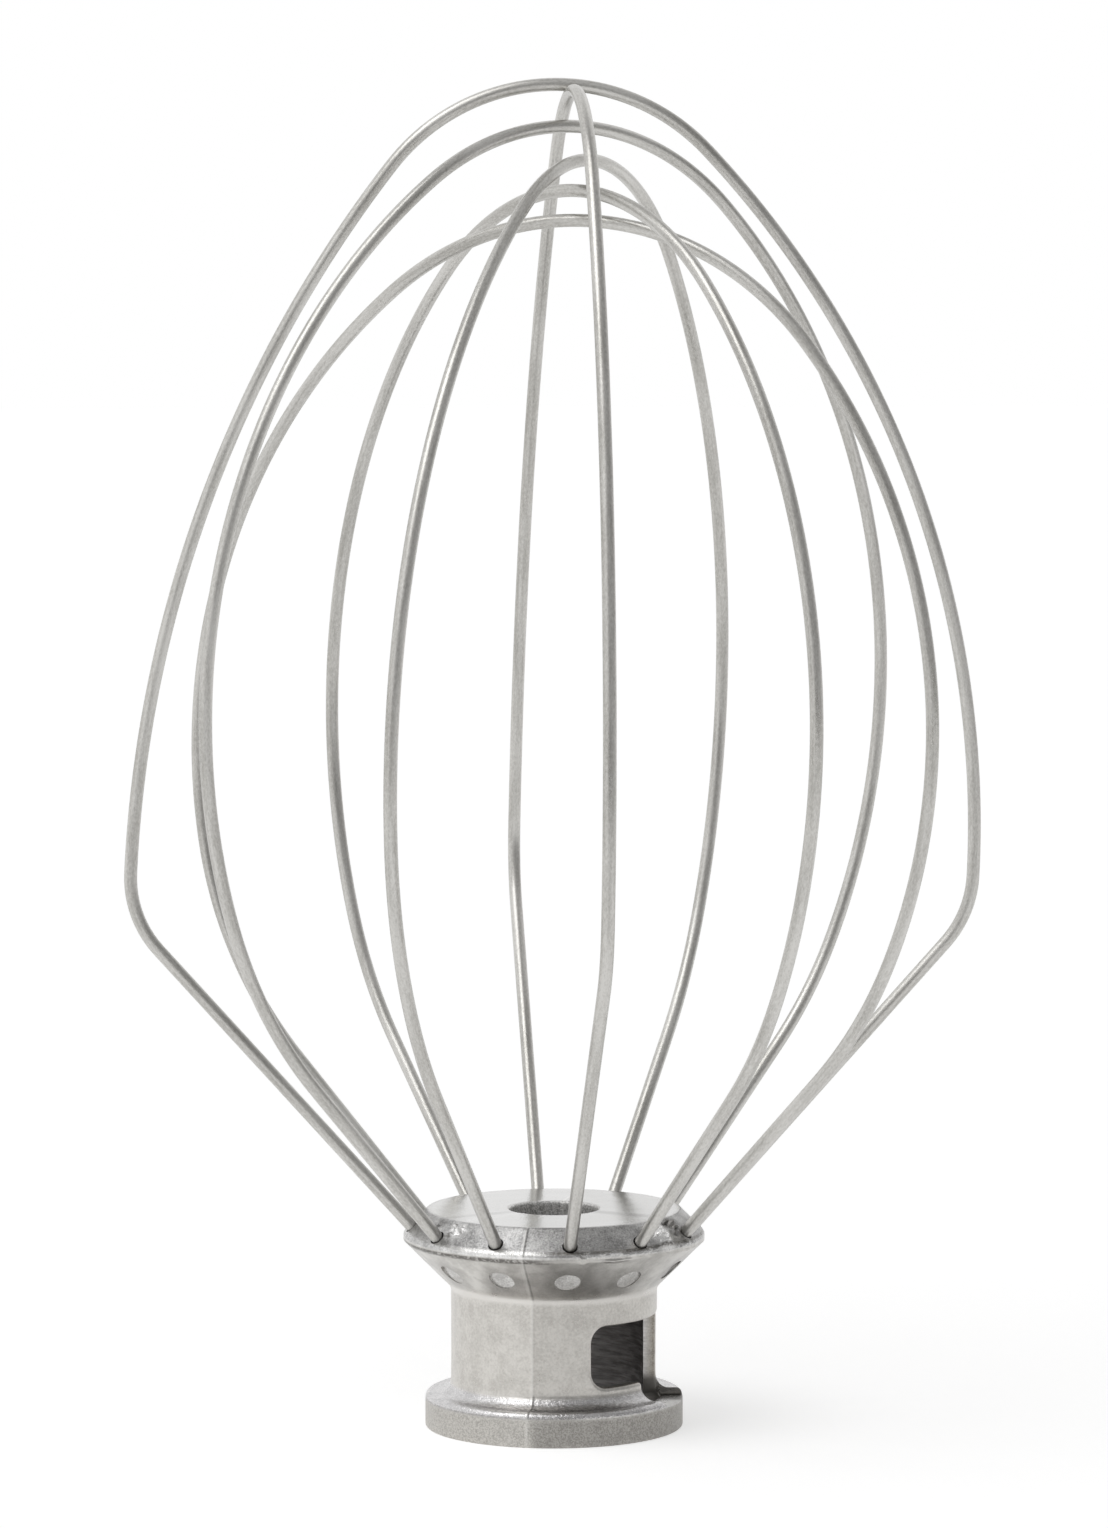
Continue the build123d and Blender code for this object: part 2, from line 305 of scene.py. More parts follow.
# Painted shade on the right half of the hub, away from the light, and the painted highlight along the
# parting ridge
NECK_PAINTED_SHADE = 0.18
FLANGE_PAINTED_SHADE = 0.45
SHADE_ON_DARK_PATCHES = 1.2
SHADE_ON_LIGHT_PATCHES = 0.8
RIDGE_HIGHLIGHT_RANGE = (0.05, 0.25)
RIDGE_HIGHLIGHT = 0.4

# Roughness of the wire and of the hub, least and most, and of each zone of the hub
WIRE_ROUGHNESS = (0.26, 0.38)
HUB_ROUGHNESS = (0.27, 0.36)
ZONE_ROUGHNESS = {
    "flare": 0.28,
    "mark": 0.36,
    "face": 0.17,
    "bevel": 0.3,
    "facet": 0.24,
    "band": 0.18,
    "foot": 0.2,
    "flange": 0.42,
    "core": 0.5,
    "bore": 0.4,
    "wall": 0.45,
}

# Heights of the relief that the finishes add
SPECKLE_H = 0.014
GRAIN_H = 0.016
PIT_H = 0.05
LUMP_H = 0.14
RIDGE_H = 0.11
RIDGE_HALF_WIDTH = 0.36
PITS_ON_MARK_AND_FLANGE = 0.6

# Sockets of a mix node: its share, the two values and the two colours, and where the results come out
MIX_SHARE = 0
FIRST_VALUE = 2
SECOND_VALUE = 3
FIRST_COLOUR = 6
SECOND_COLOUR = 7
VALUE_OUT = 0
COLOUR_OUT = 2

# Studio: light of the world, floor and key light
WORLD_LIGHT = 0.36
LIT_SIDE = Vector((-0.85, -0.5, 0.0)).normalized()
LIGHT_LEAN = 0.75
FLOOR_GLOW = 0.57
# Glow of the floor inside the hub's socket, turned down to paint the socket's shade
SOCKET_GLOW = 0.06
FLOOR_ALBEDO = 0.8
FLOOR_HALF = 4000.0
KEY_STRENGTH = 0.7
KEY_ANGLE = radians(42)
KEY_TURN = (radians(29.6), 0.0, radians(-60.5))

# Dim zones of the studio, as polished metal finds them: direction, where each starts and is full, how dim
DimZone = namedtuple("DimZone", "toward edge full dim")
DIM_ZONES = (
    DimZone(Vector((0.8, -0.55, 0.2)), 0.15, 0.94, 0.58),
    DimZone(Vector((0.1, -0.1, 0.99)), 0.64, 0.966, 0.5),
    DimZone(Vector((0.22, -0.97, 0.06)), 0.55, 0.97, 0.6),
)

# Camera: where the photograph was taken from, in metres, with the lens and the sensor in millimetres
CAMERA_AZIMUTH = radians(-6.3)
CAMERA_DISTANCE = 0.7782
CAMERA_HEIGHT = 0.1498
AIM_HEIGHT = 0.0819
CAMERA_LENS = 150.24
SENSOR_WIDTH = 36.0
CLIP_START = 0.01
CLIP_END = 20.0


# Small tools for numbers

def fade(value, start, full):
    """0 at start, 1 at full and a soft change between them; full may lie below start."""
    share = min(max((value - start) / (full - start), 0.0), 1.0)
    return share * share * (3 - 2 * share)


def in_band(value, band):
    """1 between the edges of a band, 0 outside it and a soft change over each edge."""
    return fade(value, band.low, band.low + band.edge) * fade(value, band.high, band.high - band.edge)


def bell(value, width, power):
    """1 at 0, falling off on both sides by about the width."""
    return exp(-((value / width) ** power))


def wrapped(angle):
    """The same angle between minus and plus half a turn."""
    return (angle + pi) % (2 * pi) - pi


# Small tools for meshes

def link(name, data):
    """Object that holds a mesh, a lamp or a camera, in the scene."""
    made = bpy.data.objects.new(name, data)
    bpy.context.scene.collection.objects.link(made)
    return made


def new_mesh(name, points, faces):
    """Mesh from points in millimetres."""
    mesh = bpy.data.meshes.new(name)
    mesh.from_pydata([Vector(point) * MM for point in points], [], faces)
    return mesh


def finish_mesh(mesh):
    """Smooth shading that breaks only at true corners."""
    mesh.shade_smooth()
    mesh.set_sharp_from_angle(angle=SHARP_ANGLE)


def ring_faces(rings, sides, closed):
    """Quads between rings of points, each ring closed on itself; closed joins the last ring to the first."""
    faces = []
    for ring in range(rings if closed else rings - 1):
        low = ring * sides
        high = (ring + 1) % rings * sides
        for side in range(sides):
            after = (side + 1) % sides
            faces.append((low + side, low + after, high + after, high + side))
    return faces


def capped_faces(rings, sides):
    """Quads between rings with the first and the last ring filled."""
    first = tuple(reversed(range(sides)))
    last = tuple(range((rings - 1) * sides, rings * sides))
    return ring_faces(rings, sides, False) + [first, last]


def corner_arc(corners, index):
    """Start, centre and end of the arc that rounds one corner of an outline, and the angle of the arc."""
    x, y, radius, _ = corners[index]
    here = Vector((x, y))
    back = (Vector(corners[index - 1][:2]) - here).normalized()
    ahead = (Vector(corners[(index + 1) % len(corners)][:2]) - here).normalized()
    half = back.angle(ahead) / 2
    setback = radius / tan(half)
    centre = here + (back + ahead).normalized() * (radius / sin(half))
    return here + back * setback, centre, here + ahead * setback, pi - 2 * half


def rounded_outline(corners):
    """Closed outline through corners of (x, y, radius, spacing): an arc at each, and points along the sides.

    Each corner's spacing holds for its arc and for the side that leads on from it.
    """
    arcs = [corner_arc(corners, index) for index in range(len(corners))]
    points = []
    for index, (_, _, radius, spacing) in enumerate(corners):
        start, centre, end, turn = arcs[index]
        longest_step = min(spacing, radius * ARC_STEP_SHARE + LEAST_ARC_STEP)
        steps = max(1, ceil(radius * turn / longest_step))
        for step in range(steps + 1):
            arm = start.lerp(end, step / steps) - centre
            points.append(centre + arm.normalized() * radius)
        next_start = arcs[(index + 1) % len(arcs)][0]
        parts = ceil((next_start - end).length / spacing)
        points += [end.lerp(next_start, part / parts) for part in range(1, parts)]
    return points


# Loops: centreline of each wire, in the plane of its loop, as (out, up)

def crown_heights():
    """Height of the centre of each crown's arc; a crown lies by its gap under the one before it.

    The tallest counts as lying right under a wire that rests on top of the cage.
    """
    heights = {}
    above_z = CAGE_TOP_Z + WIRE_R
    for name in STACK:
        loop = LOOPS[name]
        crown_r = loop.first.crown_r
        to_above = crown_r + 2 * WIRE_R + loop.gap
        heights[name] = above_z - sqrt(to_above**2 - loop.shift**2)
        above_z = heights[name] + sqrt(crown_r**2 - loop.shift**2)
    return heights


def half_circles(shape, crown_z, shift):
    """Centres of the crown, side and shoulder arcs of half a loop; the side circle holds the others."""
    crown = Vector((shift, crown_z))
    shoulder_x = shape.half_width - shape.shoulder_r
    rise = (shape.shoulder_r + cos(LEG_TILT) * (shoulder_x - HOLE_POINT.x)) / sin(LEG_TILT)
    shoulder = Vector((shoulder_x, HOLE_POINT.y + rise))
    from_crown = shape.side_r - shape.crown_r
    from_shoulder = shape.side_r - shape.shoulder_r
    between = shoulder - crown
    along = (between.length**2 + from_crown**2 - from_shoulder**2) / (2 * between.length)
    across = sqrt(from_crown**2 - along**2)
    unit = between.normalized()
    side = crown + unit * along + Vector((unit.y, -unit.x)) * across
    return crown, side, shoulder


def half_line(shape, crown_z, shift):
    """Points from the top of the crown down one half of a loop to the end of its leg."""
    crown, side, shoulder = half_circles(shape, crown_z, shift)
    to_crown = crown - side
    to_shoulder = shoulder - side
    joints = [pi / 2, atan2(to_crown.y, to_crown.x), atan2(to_shoulder.y, to_shoulder.x), -LEG_TILT]
    arcs = ((crown, shape.crown_r), (side, shape.side_r), (shoulder, shape.shoulder_r))
    points = []
    for (centre, radius), start, end in zip(arcs, joints, joints[1:]):
        steps = ceil((start - end) * radius / RING_STEP)
        for angle in np.linspace(start, end, steps, endpoint=False):
            points.append(centre + radius * Vector((cos(angle), sin(angle))))
    leg_start = shoulder + shape.shoulder_r * Vector((cos(LEG_TILT), -sin(LEG_TILT)))
    leg_end = HOLE_POINT - HOLE_DEPTH * Vector((sin(LEG_TILT), cos(LEG_TILT)))
    steps = ceil((leg_end - leg_start).length / RING_STEP)
    return points + [leg_start.lerp(leg_end, step / steps) for step in range(steps + 1)]


def loop_line(loop, crown_z):
    """Centreline of a whole loop, from the end of one leg to the end of the other."""
    first = half_line(loop.first, crown_z, loop.shift)
    second = half_line(loop.second, crown_z, -loop.shift)
    return [Vector((-point.x, point.y)) for point in second[:0:-1]] + first


def loop_seat(name):
    """Placement of a loop: turned to its pair of holes, then tilted about the middle of the head."""
    pitch = pi / len(LOOPS)
    turn = Matrix.Rotation(pitch * list(LOOPS).index(name), 4, "Z")
    raise_up = Matrix.Translation((0, 0, HOLE_POINT.y))
    tilt = Matrix.Rotation(radians(LOOPS[name].tilt), 4, "Y")
    return raise_up @ tilt @ raise_up.inverted() @ turn


def make_wire(name, crown_z, material):
    """Round wire along a loop's centreline; its points keep the way along and round it for the grain."""
    line = loop_line(LOOPS[name], crown_z)
    seat = loop_seat(name)
    points = []
    grain = []
    along = 0.0
    for index, point in enumerate(line):
        before = line[max(index - 1, 0)]
        after = line[min(index + 1, len(line) - 1)]
        along += (point - before).length
        heading = (after - before).normalized()
        outward = Vector((heading.y, 0, -heading.x))
        for side in range(WIRE_SIDES):
            angle = 2 * pi * side / WIRE_SIDES
            arm = outward * cos(angle) + Vector((0, 1, 0)) * sin(angle)
            points.append(seat @ (Vector((point.x, 0, point.y)) + arm * WIRE_R))
            grain += [along, cos(angle) * WIRE_R, sin(angle) * WIRE_R]
    mesh = new_mesh("wire_" + name, points, capped_faces(len(line), WIRE_SIDES))
    mesh.attributes.new("grain", "FLOAT_VECTOR", "POINT").data.foreach_set("vector", grain)
    mesh.materials.append(material)
    finish_mesh(mesh)
    piece = link("wire_" + name, mesh)
    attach(piece, "root")
    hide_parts(name)


# Hub: a turned blank, and the cuts in it

def hub_blank():
    """Casting without its cuts: the half section, rounded at its corners, turned about the axis."""
    corners = [
        (BORE_R, 0.0, SMALL_EDGE_R, MIDDLE_ROW),
        (FLANGE_R, 0.0, SMALL_EDGE_R, FINE_ROW),
        (FLANGE_R, FLANGE_T, FLANGE_EDGE_R, FINE_ROW),
        (NECK_R, FLANGE_T, NECK_FILLET_R, MIDDLE_ROW),
        (NECK_R, FLARE_Z, FLARE_FILLET_R, FINE_ROW),
        (RIM_R, RIM_LOW_Z, RIM_EDGE_R, RIM_ROW),
        (RIM_R, RIM_TOP_Z, RIM_TOP_R, FINE_ROW),
        (FACE_R, FACE_Z, FACE_EDGE_R, MIDDLE_ROW),
        (TOP_HOLE_R, FACE_Z, SMALL_EDGE_R, MIDDLE_ROW),
        (TOP_HOLE_R, BORE_DEPTH, SMALL_EDGE_R, COARSE_ROW),
        (BORE_R, BORE_DEPTH, SMALL_EDGE_R, COARSE_ROW),
    ]
    points = []
    outline = rounded_outline(corners)
    for radius, z in outline:
        for column in range(HUB_COLUMNS):
            angle = 2 * pi * column / HUB_COLUMNS
            points.append((radius * cos(angle), radius * sin(angle), z))
    return new_mesh("hub_blank", points, ring_faces(len(outline), HUB_COLUMNS, True))


def polar_prism(outline, layers):
    """Cutter with an outline of (way round the neck, height), run out through layers of (radius, growth).

    Growth moves the outline outward along its normals, which rounds the edge that the cutter leaves.
    """
    points = []
    count = len(outline)
    for radius, growth in layers:
        for index, point in enumerate(outline):
            along = outline[(index + 1) % count] - outline[index - 1]
            outward = Vector((along.y, -along.x)).normalized()
            grown = point + outward * growth * fade(point.y, FLANGE_T, SLOT_LOW_Z)
            angle = grown.x / NECK_R
            points.append((radius * cos(angle), radius * sin(angle), grown.y))
    return points, capped_faces(len(layers), count)


def slot_cutter():
    """Space of the bayonet slot and its entry notch, flaring a little where it leaves the neck."""
    slot_start = -SLOT_ARC * NECK_R
    entry_start = -ENTRY_ARC * NECK_R
    corners = [
        (slot_start, SLOT_LOW_Z, SLOT_CORNER_R, SLOT_ROW),
        (entry_start, SLOT_LOW_Z, ENTRY_LIP_R, SLOT_ROW),
        (entry_start, ENTRY_FLOOR_Z, ENTRY_CORNER_R, SLOT_ROW),
        (0.0, ENTRY_FLOOR_Z, SMALL_EDGE_R, SLOT_ROW),
        (0.0, SLOT_TOP_Z, SMALL_EDGE_R, SLOT_ROW),
        (slot_start, SLOT_TOP_Z, SLOT_CORNER_R, SLOT_ROW),
    ]
    layers = [(BORE_R - OVERCUT, 0.0)]
    for step in range(SLOT_EDGE_STEPS + 1):
        share = step / SLOT_EDGE_STEPS
        layers.append((NECK_R - SLOT_EDGE_R * (1 - share), SLOT_EDGE_R * (1 - sqrt(1 - share**2))))
    layers += [(NECK_R + SLOT_EDGE_R, SLOT_EDGE_R), (FLANGE_R + OVERCUT, SLOT_EDGE_R)]
    return polar_prism(rounded_outline(corners), layers)


def keyway_cutter():
    """Space in the bore's wall that lets the shaft's pin up to the slot."""
    entry_start = -ENTRY_ARC * NECK_R
    corners = [
        (entry_start, -OVERCUT, SMALL_EDGE_R, KEYWAY_ROW),
        (0.0, -OVERCUT, SMALL_EDGE_R, KEYWAY_ROW),
        (0.0, SLOT_LOW_Z, SMALL_EDGE_R, KEYWAY_ROW),
        (entry_start, SLOT_LOW_Z, SMALL_EDGE_R, KEYWAY_ROW),
    ]
    return polar_prism(rounded_outline(corners), [(BORE_R - OVERCUT, 0.0), (BORE_R + KEYWAY_DEPTH, 0.0)])


def round_cutters(bottom, axis, radius, length):
    """Twelve round cutters, one at each wire end, from a bottom and an axis in the plane of the loop."""
    across = Vector((axis.z, 0, -axis.x))
    points = []
    faces = []
    for name in LOOPS:
        for turn in (0, pi):
            seat = loop_seat(name) @ Matrix.Rotation(turn, 4, "Z")
            first = len(points)
            for end in (bottom, bottom + axis * length):
                for side in range(CUTTER_SIDES):
                    angle = 2 * pi * side / CUTTER_SIDES
                    arm = across * cos(angle) + Vector((0, 1, 0)) * sin(angle)
                    points.append(seat @ (end + arm * radius))
            faces += [[first + corner for corner in face] for face in capped_faces(2, CUTTER_SIDES)]
    return points, faces


def leg_point(depth):
    """Point on the middle line of a wire's leg, at a depth in its hole, and the way up the leg."""
    leg = Vector((sin(LEG_TILT), 0, cos(LEG_TILT)))
    return Vector((HOLE_POINT.x, 0, HOLE_POINT.y)) - leg * depth, leg


def hole_cutters():
    """Holes for the wire ends."""
    bottom, leg = leg_point(HOLE_DEPTH)
    return round_cutters(bottom, leg, HOLE_R, HOLE_DEPTH + 2 * OVERCUT)


def stake_cutters():
    """Punch marks in the flare's underside, flat and deepest towards the rim."""
    square = Vector((DIAGONAL, 0, -DIAGONAL))
    on_wire, _ = leg_point(STAKE_DEPTH)
    to_surface = (Vector((NECK_R, 0, FLARE_Z)) - on_wire).dot(square)
    bottom = on_wire + square * (to_surface - STAKE_DENT)
    punch = Vector((cos(STAKE_TILT), 0, -sin(STAKE_TILT)))
    return round_cutters(bottom, punch, STAKE_R, STAKE_DENT + OVERCUT)


def drop_slivers(mesh):
    """Dissolves the slivers that the cuts leave, and deletes the pairs of faces that lie back to back."""
    work = bmesh.new()
    work.from_mesh(mesh)
    bmesh.ops.triangulate(work, faces=work.faces)
    bmesh.ops.dissolve_degenerate(work, dist=SLIVER_WIDTH * MM, edges=work.edges)
    by_corners = {}
    for face in work.faces:
        by_corners.setdefault(frozenset(face.verts), []).append(face)
    doubled = [face for faces in by_corners.values() if len(faces) > 1 for face in faces]
    bmesh.ops.delete(work, geom=doubled, context="FACES")
    work.to_mesh(mesh)
    work.free()


def cut(blank, cutters):
    """Mesh of a blank with the cutters taken out of it."""
    work = link("hub_work", blank)
    tools = []
    for points, faces in cutters:
        tool = link("cutter", new_mesh("cutter", points, faces))
        tools.append(tool)
        difference = work.modifiers.new("cut", "BOOLEAN")
        difference.operation = "DIFFERENCE"
        difference.solver = "MANIFOLD"
        difference.object = tool
    graph = bpy.context.evaluated_depsgraph_get()
    mesh = bpy.data.meshes.new_from_object(work.evaluated_get(graph))
    for spent in [work, *tools]:
        bpy.data.objects.remove(spent)
    drop_slivers(mesh)
    return mesh


# Places on the hub

def radius_of(point):
    """Distance of a point from the hub's axis."""
    return hypot(point.x, point.y)


def azimuth_of(point):
    """Angle of a point round the hub's axis from +X."""
    return atan2(point.y, point.x)


def past_parting(point):
    """Angle round the hub's axis from the parting line on its front to a point."""
    return wrapped(azimuth_of(point) - PARTING_AZIMUTH)


def from_parting(point):
    """Way round the hub from a point to the nearer of the two lines where the halves of the mould met."""
    off = abs(past_parting(point))
    return min(off, pi - off) * radius_of(point)


def from_mark(point):
    """Way along the flare from a point to the middle of the nearest punch mark."""
    pitch = pi / len(LOOPS)
    radius = radius_of(point)
    azimuth = azimuth_of(point)
    around = (azimuth - pitch * round(azimuth / pitch)) * radius
    up_slope = (radius - MARK_CENTRE.x + point.z - MARK_CENTRE.y) * DIAGONAL
    off_slope = (radius - MARK_CENTRE.x - point.z + MARK_CENTRE.y) * DIAGONAL
    return Vector((around, up_slope, off_slope)).length


def from_scar(point, scar):
    """Way from the middle of a crumpled place to a point, as a share of the place's size."""
    across = wrapped(azimuth_of(point) - scar.azimuth) * radius_of(point)
    up_slope = (point.z - scar.z) / DIAGONAL
    return hypot(across, up_slope) / scar.size


def in_scar(point, scar):
    """How far a point lies in a crumpled place, from 0 to 1."""
    return bell(from_scar(point, scar), 1.0, FLAT_TOP)


# Casting marks: how the real hub departs from its clean form

def rim_burr(point):
    """Ragged flash along the rim, strongest on one side."""
    out = radius_of(point) - RIM_R
    near = bell(hypot(out, point.z - RIM_TOP_Z), BURR_REACH, ROUND_TOP)
    near += LOW_BURR * bell(hypot(out, point.z - RIM_LOW_Z), LOW_BURR_REACH, ROUND_TOP)
    turn = wrapped(azimuth_of(point) - BURR_CENTRE)
    side = BURR_ELSEWHERE + (1 - BURR_ELSEWHERE) * bell(turn, BURR_HALF_ARC, FLAT_TOP)
    coarse = noise.noise(point / BURR_SIZE)
    fine = noise.noise(point * FINE_BURRS_TO_ONE / BURR_SIZE)
    ragged = BURR * side * max(0.0, coarse + FINE_BURR * fine)
    for lump in LUMPS:
        along = wrapped(azimuth_of(point) - lump.azimuth) * RIM_R
        ragged += lump.height * bell(along, lump.half_length, FLAT_TOP)
    return near * ragged


def crumpled(point):
    """Torn metal on the bevel, where the casting's gate and overflow were broken off."""
    coarse = noise.noise(point * TEARS_PER_MM)
    fine = abs(noise.noise(point * FINE_TEARS_PER_MM))
    torn = coarse + FINE_TEAR * fine - TEAR_LEVEL
    swollen = sum(scar.swelling * bell(from_scar(point, scar), 1.0, ROUND_TOP) for scar in SCARS)
    return swollen + torn * sum(scar.depth * in_scar(point, scar) for scar in SCARS)


def core_lumps(point):
    """Rough skin of the hole in the top face."""
    coarse = noise.noise(point * CORE_LUMPS_PER_MM)
    fine = noise.noise(point * FINE_CORE_LUMPS_PER_MM)
    return CORE_ROUGHNESS * (coarse + FINE_CORE * fine)


def casting_offset(point, normal):
    """How far a point of the hub stands out from its true form, along its normal."""
    radius = radius_of(point)
    if normal.z < FACING_DOWN and point.z < SMALL_EDGE_R:
        return 0.0
    offset = UNEVEN * noise.noise(point / UNEVEN_SIZE)
    outside = radius > NECK_R and point.z < FACE_Z - FACE_EDGE_R
    if outside and point.z > RIM_LOW_Z - 2 * LOW_BURR_REACH:
        offset += rim_burr(point)
    if outside and point.z > RIM_TOP_Z:
        offset += crumpled(point)
    if radius < TOP_HOLE_R + SMALL_EDGE_R and point.z > BORE_DEPTH:
        offset += core_lumps(point)
    return offset


# Zones: where each finish of the hub lies

def rim_shade_and_dirt(point):
    """Painted shade and dirt along the rim: behind its flash on the right of the parting line, under its
    edge on the left.
    """
    right = fade(past_parting(point), *RIM_SHADE_AND_DIRT_TURN_FADE)
    behind = in_band(point.z, RIM_SHADE_AND_DIRT_BEHIND_BAND)
    under = in_band(point.z, RIM_SHADE_AND_DIRT_UNDER_BAND)
    return behind * right + under * (1 - right)


def rim_painted_highlight(point):
    """Painted highlight along the top of the rim, most of it left of the parting line."""
    turn = past_parting(point)
    left = fade(turn, *HIGHLIGHT_START_TURN_FADE) * fade(turn, *HIGHLIGHT_END_TURN_FADE)
    return (HIGHLIGHT_ELSEWHERE + (1 - HIGHLIGHT_ELSEWHERE) * left) * in_band(point.z, HIGHLIGHT_HEIGHT_BAND)


def flange_shade_and_dirt(point):
    """Painted shade and dirt in a fine line under the flange's upper edge, left of the parting line and a
    little past it.
    """
    out = fade(radius_of(point), *FLANGE_SHADE_AND_DIRT_RADIUS_FADE)
    left = fade(past_parting(point), *FLANGE_SHADE_AND_DIRT_TURN_FADE)
    return FLANGE_SHADE_AND_DIRT * out * left * in_band(point.z, FLANGE_SHADE_AND_DIRT_HEIGHT_BAND)


def notch_shade_and_dirt(point):
    """Painted shade and dirt in the inner corner of the entry notch, up to the slot's floor."""
    azimuth = azimuth_of(point)
    round_corner = fade(azimuth, *NOTCH_START_TURN_FADE) * fade(azimuth, *NOTCH_END_TURN_FADE)
    return round_corner * fade(point.z, *NOTCH_LOW_FADE) * fade(point.z, *NOTCH_TOP_FADE)


def right_half(point):
    """0 left of the parting line and 1 right of it, with a softer change on the flange; it masks the painted
    shade of the right half.
    """
    soft = HALF_EDGE + HALF_EDGE_ON_FLANGE * fade(point.z, *HALF_EDGE_HEIGHT_FADE)
    return fade(sin(past_parting(point)), -HALF_EDGE, 2 * soft)


def head_zones(point):
    """Shares of the head's zones: bevel, face, the rim's band of painted highlight and crumpled places, and
    all the painted shade and dirt in fine lines.
    """
    radius = radius_of(point)
    off_bevel = abs(radius + point.z - FACE_R - FACE_Z)
    at_rim = fade(radius, *RIM_RADIUS_FADE)
    return {
        "bevel": fade(off_bevel, *OFF_BEVEL_FADE) * fade(radius, *BEVEL_RADIUS_FADE),
        "face": fade(point.z, *FACE_HEIGHT_FADE),
        "band": at_rim * rim_painted_highlight(point),
        "dirt_and_shade": max(at_rim * rim_shade_and_dirt(point), flange_shade_and_dirt(point)),
        "scar": max(scar.dark * in_scar(point, scar) for scar in SCARS),
        "facet": max(scar.bright * in_scar(point, scar) for scar in SCARS),
    }


def flare_zones(point):
    """Shares of the flare's zones: its slope, the punch marks, the darker ring round them and the painted
    highlight in the crease below.
    """
    radius = radius_of(point)
    off_flare = radius - NECK_R - point.z + FLARE_Z
    mark_depth = -off_flare * DIAGONAL
    return {
        "flare": fade(abs(off_flare), *OFF_FLARE_FADE) * fade(point.z, *FLARE_HEIGHT_FADE),
        "halo": bell(from_mark(point), HALO_R, FLAT_TOP),
        "mark": in_band(mark_depth, MARK_DEPTH_BAND) * in_band(radius, MARK_RADIUS_BAND),
        "crease": in_band(point.z, CREASE_HEIGHT_BAND) * (radius > CREASE_LEAST_R),
    }


def low_zones(point):
    """Shares of the zones low on the hub: the flange's side, the neck's foot and the painted shade and dirt
    in the notch's corner.
    """
    radius = radius_of(point)
    return {
        "flange": fade(radius, *FLANGE_RADIUS_FADE) * fade(point.z, *FLANGE_HEIGHT_FADE),
        "foot": fade(radius, *FOOT_RADIUS_FADE) * in_band(point.z, FOOT_HEIGHT_BAND),
        "notch": notch_shade_and_dirt(point),
    }


def inner_zones(point):
    """Shares of the zones inside the hub: the hole in its top, the socket and the walls of the slot, which
    carry grime and painted shade.
    """
    radius = radius_of(point)
    above_bore = fade(point.z, *CORE_HEIGHT_FADE)
    in_wall = fade(radius, *WALL_INNER_FADE) * fade(radius, *WALL_OUTER_FADE)
    in_slot = fade(point.z, *WALL_LOW_FADE) * fade(point.z, *WALL_TOP_FADE)
    return {
        "core": fade(radius, *CORE_RADIUS_FADE) * above_bore,
        "bore": fade(radius, *BORE_RADIUS_FADE) * (1 - above_bore),
        "wall": in_wall * in_slot,
    }


def zone_shares(point):
    """How far a point lies in each zone of the finish, and how it lies to the parting line."""
    parting = {"parting": min(from_parting(point), PARTING_REACH), "half": right_half(point)}
    return head_zones(point) | flare_zones(point) | low_zones(point) | inner_zones(point) | parting


# The finished hub

def work_over(mesh):
    """Gives the clean form its casting marks, and notes the zone of every point for the finish."""
    zones = {}
    moved = []
    normals = [corner.vector.copy() for corner in mesh.vertex_normals]
    for vertex, normal in zip(mesh.vertices, normals):
        point = vertex.co / MM
        for zone, share in zone_shares(point).items():
            zones.setdefault(zone, []).append(share)
        worked = point + normal * casting_offset(point, normal)
        worked.z = max(worked.z, 0.0)
        moved += list(worked * MM)
    mesh.vertices.foreach_set("co", moved)
    for zone, shares in zones.items():
        mesh.attributes.new(zone, "FLOAT", "POINT").data.foreach_set("value", shares)
    mesh.update()


def make_hub(material):
    """The die-cast hub, as one piece."""
    mesh = cut(hub_blank(), [slot_cutter(), keyway_cutter(), hole_cutters(), stake_cutters()])
    mesh.name = "cast_hub"
    work_over(mesh)
    mesh.materials.clear()
    mesh.materials.append(material)
    finish_mesh(mesh)
    piece = link("cast_hub", mesh)
    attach(piece, "root")
    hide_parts("hub")


# Small tools for node trees

def add_node(tree, kind, inputs=None, **settings):
    """A node with some of its settings and input values filled in; an input may also be a socket to link."""
    made = tree.nodes.new(kind)
    for name, value in settings.items():
        setattr(made, name, value)
    for name, value in (inputs or {}).items():
        if isinstance(value, bpy.types.NodeSocket):
            tree.links.new(value, made.inputs[name])
        else:
            made.inputs[name].default_value = value
    return made


def math_node(tree, operation, first, second):
    """Math on two sockets or numbers; gives the socket of the result."""
    return add_node(tree, "ShaderNodeMath", {0: first, 1: second}, operation=operation).outputs[0]


def product(tree, first, second):
    """Socket of two values multiplied."""
    return math_node(tree, "MULTIPLY", first, second)


def total(tree, first, second):
    """Socket of two values added."""
    return math_node(tree, "ADD", first, second)


def larger(tree, first, second):
    """Socket of the larger of two values."""
    return math_node(tree, "MAXIMUM", first, second)


def rest_of_one(tree, value):
    """Socket of what a value leaves of 1."""
    return math_node(tree, "SUBTRACT", 1.0, value)


def blend(tree, first, second, share):
    """Socket of two values added, with the second's share given."""
    return total(tree, product(tree, first, 1 - share), product(tree, second, share))


def ranged(tree, value, low, high, to_low, to_high):
    """Socket that runs from to_low to to_high as value goes from low to high, and no further."""
    inputs = {"Value": value, "From Min": low, "From Max": high, "To Min": to_low, "To Max": to_high}
    return add_node(tree, "ShaderNodeMapRange", inputs).outputs["Result"]


def stretched(tree, value, low, high):
    """Socket of a value with the range from low to high stretched to 0 to 1."""
    return ranged(tree, value, low, high, 0.0, 1.0)


def mixed_value(tree, share, first, second):
    """Socket of a value between two values."""
    inputs = {MIX_SHARE: share, FIRST_VALUE: first, SECOND_VALUE: second}
    return add_node(tree, "ShaderNodeMix", inputs).outputs[VALUE_OUT]


